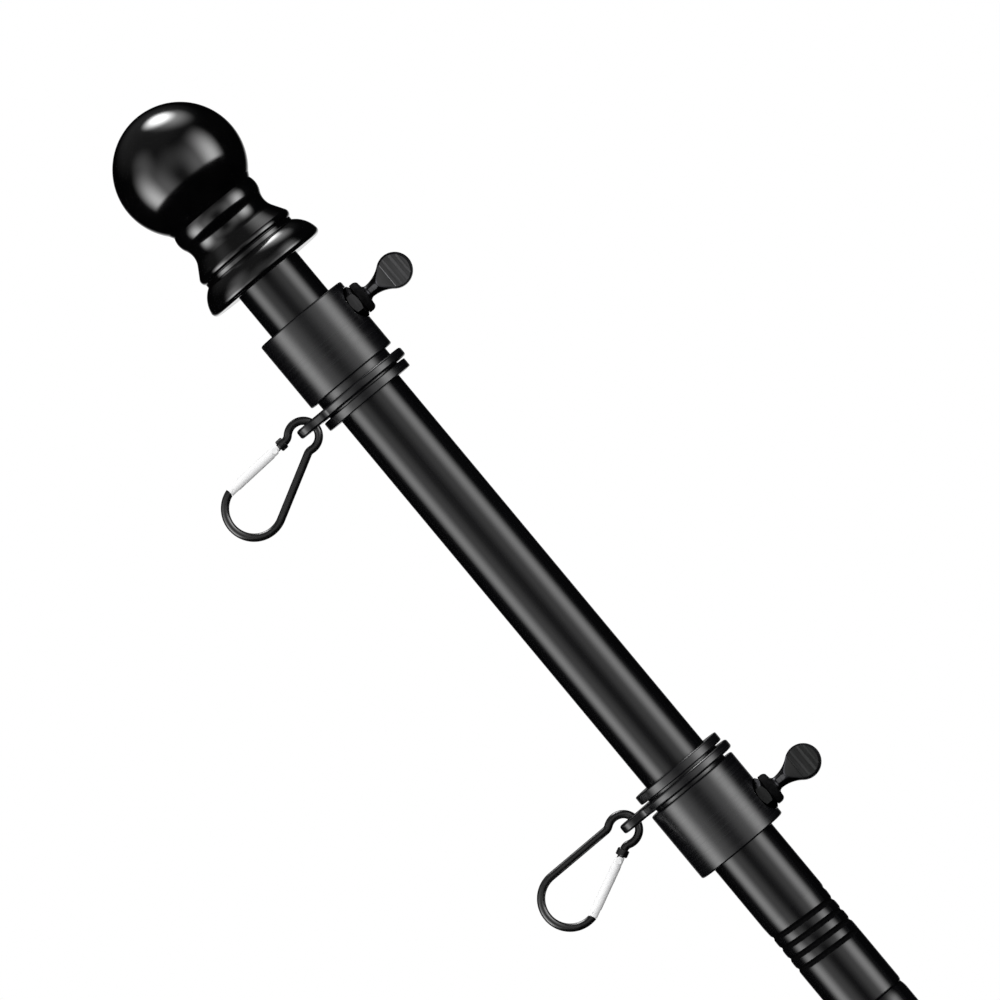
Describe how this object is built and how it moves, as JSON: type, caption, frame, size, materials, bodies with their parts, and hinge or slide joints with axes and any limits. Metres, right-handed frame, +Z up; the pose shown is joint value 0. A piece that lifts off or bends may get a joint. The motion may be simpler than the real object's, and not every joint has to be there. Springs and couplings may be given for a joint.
{
  "type": "flag pole",
  "caption": "Sectional round house flag pole with a ball finial and clamp-on collars, each with a spinning ring and a spring clip that hold the flag.",
  "frame": {"origin": "centre of the foot cap's end face at the butt of the pole", "axes": "+Z up the pole, +X towards the thumb screws, so that the clips hang out along -X"},
  "size_m": [0.1096, 0.047, 1.5244],
  "materials": {
    "gloss_black_plastic": "gloss",
    "black_tube": "satin",
    "black_insert": "matte",
    "black_cap": "satin",
    "black_anodised": "satin",
    "dark_steel": "matte",
    "black_wire": "satin",
    "bright_steel": "polished"
  },
  "bodies": {
    "pole": {"finial": "gloss_black_plastic", "pole_section_1": "black_tube", "pole_section_2": "black_tube", "pole_section_3": "black_tube", "pole_section_4": "black_tube", "coupling_1_stud": "black_insert", "coupling_1_socket": "black_insert", "coupling_2_stud": "black_insert", "coupling_2_socket": "black_insert", "coupling_3_stud": "black_insert", "coupling_3_socket": "black_insert", "foot_cap": "black_cap"},
    "upper_collar": {"upper_collar": "black_anodised", "upper_retaining_flange": "black_anodised", "upper_screw_nut": "dark_steel"},
    "upper_ring": {"upper_spin_ring": "black_anodised"},
    "upper_clip": {"upper_clip_frame": "black_wire", "upper_clip_rivet": "black_wire"},
    "upper_gate": {"upper_clip_gate": "bright_steel", "upper_clip_latch_pin": "bright_steel"},
    "upper_thumb_screw": {"upper_thumb_screw": "dark_steel"},
    "lower_collar": {"lower_collar": "black_anodised", "lower_retaining_flange": "black_anodised", "lower_screw_nut": "dark_steel"},
    "lower_ring": {"lower_spin_ring": "black_anodised"},
    "lower_clip": {"lower_clip_frame": "black_wire", "lower_clip_rivet": "black_wire"},
    "lower_gate": {"lower_clip_gate": "bright_steel", "lower_clip_latch_pin": "bright_steel"},
    "lower_thumb_screw": {"lower_thumb_screw": "dark_steel"}
  },
  "joints": [
    {"name": "upper_collar_slide", "type": "slide", "parent": "pole", "child": "upper_collar", "axis": [0, 0, 1], "range_m": [-0.04, 0.012]},
    {"name": "upper_ring_spin", "type": "hinge", "parent": "upper_collar", "child": "upper_ring", "pos_m": [0, 0, 1.4043], "axis": [0, 0, 1], "continuous": true},
    {"name": "upper_clip_swing", "type": "hinge", "parent": "upper_ring", "child": "upper_clip", "pos_m": [-0.02602, -0.00783, 1.4033], "axis": [0, -1, 0], "range_deg": [-91, 69]},
    {"name": "upper_gate_open", "type": "hinge", "parent": "upper_clip", "child": "upper_gate", "pos_m": [-0.03678, -0.00783, 1.40571], "axis": [0, -1, 0], "range_deg": [0, 30], "stiffness_Nm_per_rad": 0.02, "springref_deg": -5.73},
    {"name": "upper_thumb_screw_turn", "type": "hinge", "parent": "upper_collar", "child": "upper_thumb_screw", "pos_m": [0.02, 0, 1.4273], "axis": [1, 0, 0], "range_deg": [0, 360]},
    {"name": "lower_collar_slide", "type": "slide", "parent": "pole", "child": "lower_collar", "axis": [0, 0, 1], "range_m": [-1.1, 0.04]},
    {"name": "lower_ring_spin", "type": "hinge", "parent": "lower_collar", "child": "lower_ring", "pos_m": [0, 0, 1.22895], "axis": [0, 0, 1], "continuous": true},
    {"name": "lower_clip_swing", "type": "hinge", "parent": "lower_ring", "child": "lower_clip", "pos_m": [-0.0279, 0, 1.22895], "axis": [0, 1, 0], "range_deg": [-65, 97]},
    {"name": "lower_gate_open", "type": "hinge", "parent": "lower_clip", "child": "lower_gate", "pos_m": [-0.0362, 0, 1.2217], "axis": [0, 1, 0], "range_deg": [0, 30], "stiffness_Nm_per_rad": 0.02, "springref_deg": -5.73},
    {"name": "lower_thumb_screw_turn", "type": "hinge", "parent": "lower_collar", "child": "lower_thumb_screw", "pos_m": [0.02, 0, 1.2075], "axis": [1, 0, 0], "range_deg": [0, 360]}
  ]
}
